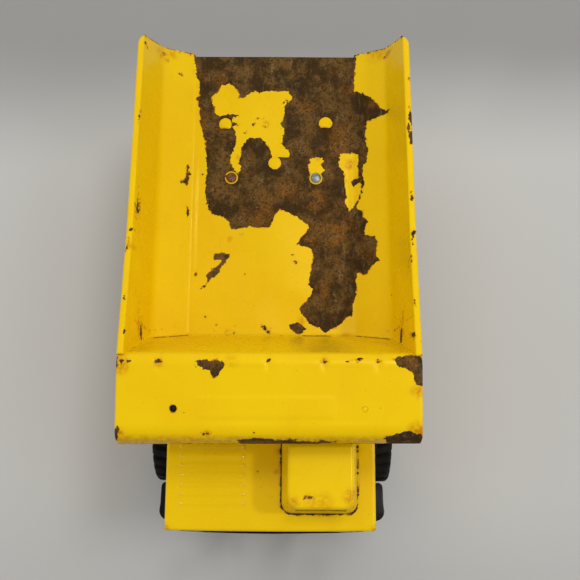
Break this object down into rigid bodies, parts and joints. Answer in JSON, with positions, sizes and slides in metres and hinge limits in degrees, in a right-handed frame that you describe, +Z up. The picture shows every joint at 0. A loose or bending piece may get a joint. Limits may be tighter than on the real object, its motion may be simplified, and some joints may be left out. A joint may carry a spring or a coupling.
{
  "type": "toy dump truck",
  "caption": "Pressed-steel toy mining dump truck with a half-width cab, a tipping open-backed bed with a canopy over the cab, and free-rolling rubber-tyred wheels.",
  "frame": {"origin": "on the ground, under the middle of the whole truck", "axes": "+Z up, the truck's front faces -Y, its tail +Y, and its left side, where the cab is, +X"},
  "size_m": [0.24, 0.4411, 0.25],
  "materials": {
    "yellow_paint": "glossy enamel with chips worn through to brown rust",
    "hub_paint": "semi-gloss",
    "black_plastic": "glossy moulded",
    "tyre_rubber": "matt with transverse tread",
    "pad_rubber": "matt",
    "bright_steel": "plated, lightly rusted",
    "lamp_lens": "clear ribbed",
    "clear_glazing": "clear"
  },
  "bodies": {
    "chassis": {"chassis_frame": "yellow_paint", "chassis_plate_left": "yellow_paint", "chassis_plate_right": "yellow_paint", "hood_shell": "yellow_paint", "cab_shell": "yellow_paint", "cab_window": "clear_glazing", "front_grille": "black_plastic", "headlight_left": "lamp_lens", "headlight_right": "lamp_lens", "front_bumper": "black_plastic", "bumper_screw_left": "bright_steel", "bumper_screw_right": "bright_steel", "front_axle": "bright_steel", "rear_axle": "bright_steel", "axle_cap_front_left": "bright_steel", "axle_cap_front_right": "bright_steel", "axle_cap_rear_left": "bright_steel", "axle_cap_rear_right": "bright_steel", "front_axle_spacer_left": "bright_steel", "front_axle_spacer_right": "bright_steel", "pivot_rod": "bright_steel", "pivot_cap_left": "bright_steel", "pivot_cap_right": "bright_steel", "bed_rest_bracket": "yellow_paint", "bed_rest_pad": "pad_rubber"},
    "dump_bed": {"bed_shell": "yellow_paint", "canopy_panel": "yellow_paint", "canopy_rivet": "yellow_paint", "bed_rivet_left": "bright_steel", "bed_rivet_right": "bright_steel", "bed_hinge_bracket": "yellow_paint"},
    "wheel_front_left": {"tyre_front_left": "tyre_rubber", "hub_front_left": "hub_paint"},
    "wheel_front_right": {"tyre_front_right": "tyre_rubber", "hub_front_right": "hub_paint"},
    "wheel_rear_outer_left": {"tyre_rear_outer_left": "tyre_rubber", "hub_rear_outer_left": "hub_paint"},
    "wheel_rear_outer_right": {"tyre_rear_outer_right": "tyre_rubber", "hub_rear_outer_right": "hub_paint"},
    "wheel_rear_inner_left": {"tyre_rear_inner_left": "tyre_rubber", "hub_rear_inner_left": "hub_paint"},
    "wheel_rear_inner_right": {"tyre_rear_inner_right": "tyre_rubber", "hub_rear_inner_right": "hub_paint"}
  },
  "joints": [
    {"name": "dump_hinge", "type": "hinge", "parent": "chassis", "child": "dump_bed", "pos_m": [0, 0.1505, 0.128], "axis": [-1, 0, 0], "range_deg": [0, 50]},
    {"name": "wheel_front_left_spin", "type": "hinge", "parent": "chassis", "child": "wheel_front_left", "pos_m": [0.092, -0.1135, 0.058], "axis": [1, 0, 0], "continuous": true},
    {"name": "wheel_front_right_spin", "type": "hinge", "parent": "chassis", "child": "wheel_front_right", "pos_m": [-0.092, -0.1135, 0.058], "axis": [1, 0, 0], "continuous": true},
    {"name": "wheel_rear_outer_left_spin", "type": "hinge", "parent": "chassis", "child": "wheel_rear_outer_left", "pos_m": [0.092, 0.1115, 0.058], "axis": [1, 0, 0], "continuous": true},
    {"name": "wheel_rear_outer_right_spin", "type": "hinge", "parent": "chassis", "child": "wheel_rear_outer_right", "pos_m": [-0.092, 0.1115, 0.058], "axis": [1, 0, 0], "continuous": true},
    {"name": "wheel_rear_inner_left_spin", "type": "hinge", "parent": "chassis", "child": "wheel_rear_inner_left", "pos_m": [0.054, 0.1115, 0.058], "axis": [1, 0, 0], "continuous": true},
    {"name": "wheel_rear_inner_right_spin", "type": "hinge", "parent": "chassis", "child": "wheel_rear_inner_right", "pos_m": [-0.054, 0.1115, 0.058], "axis": [1, 0, 0], "continuous": true}
  ]
}
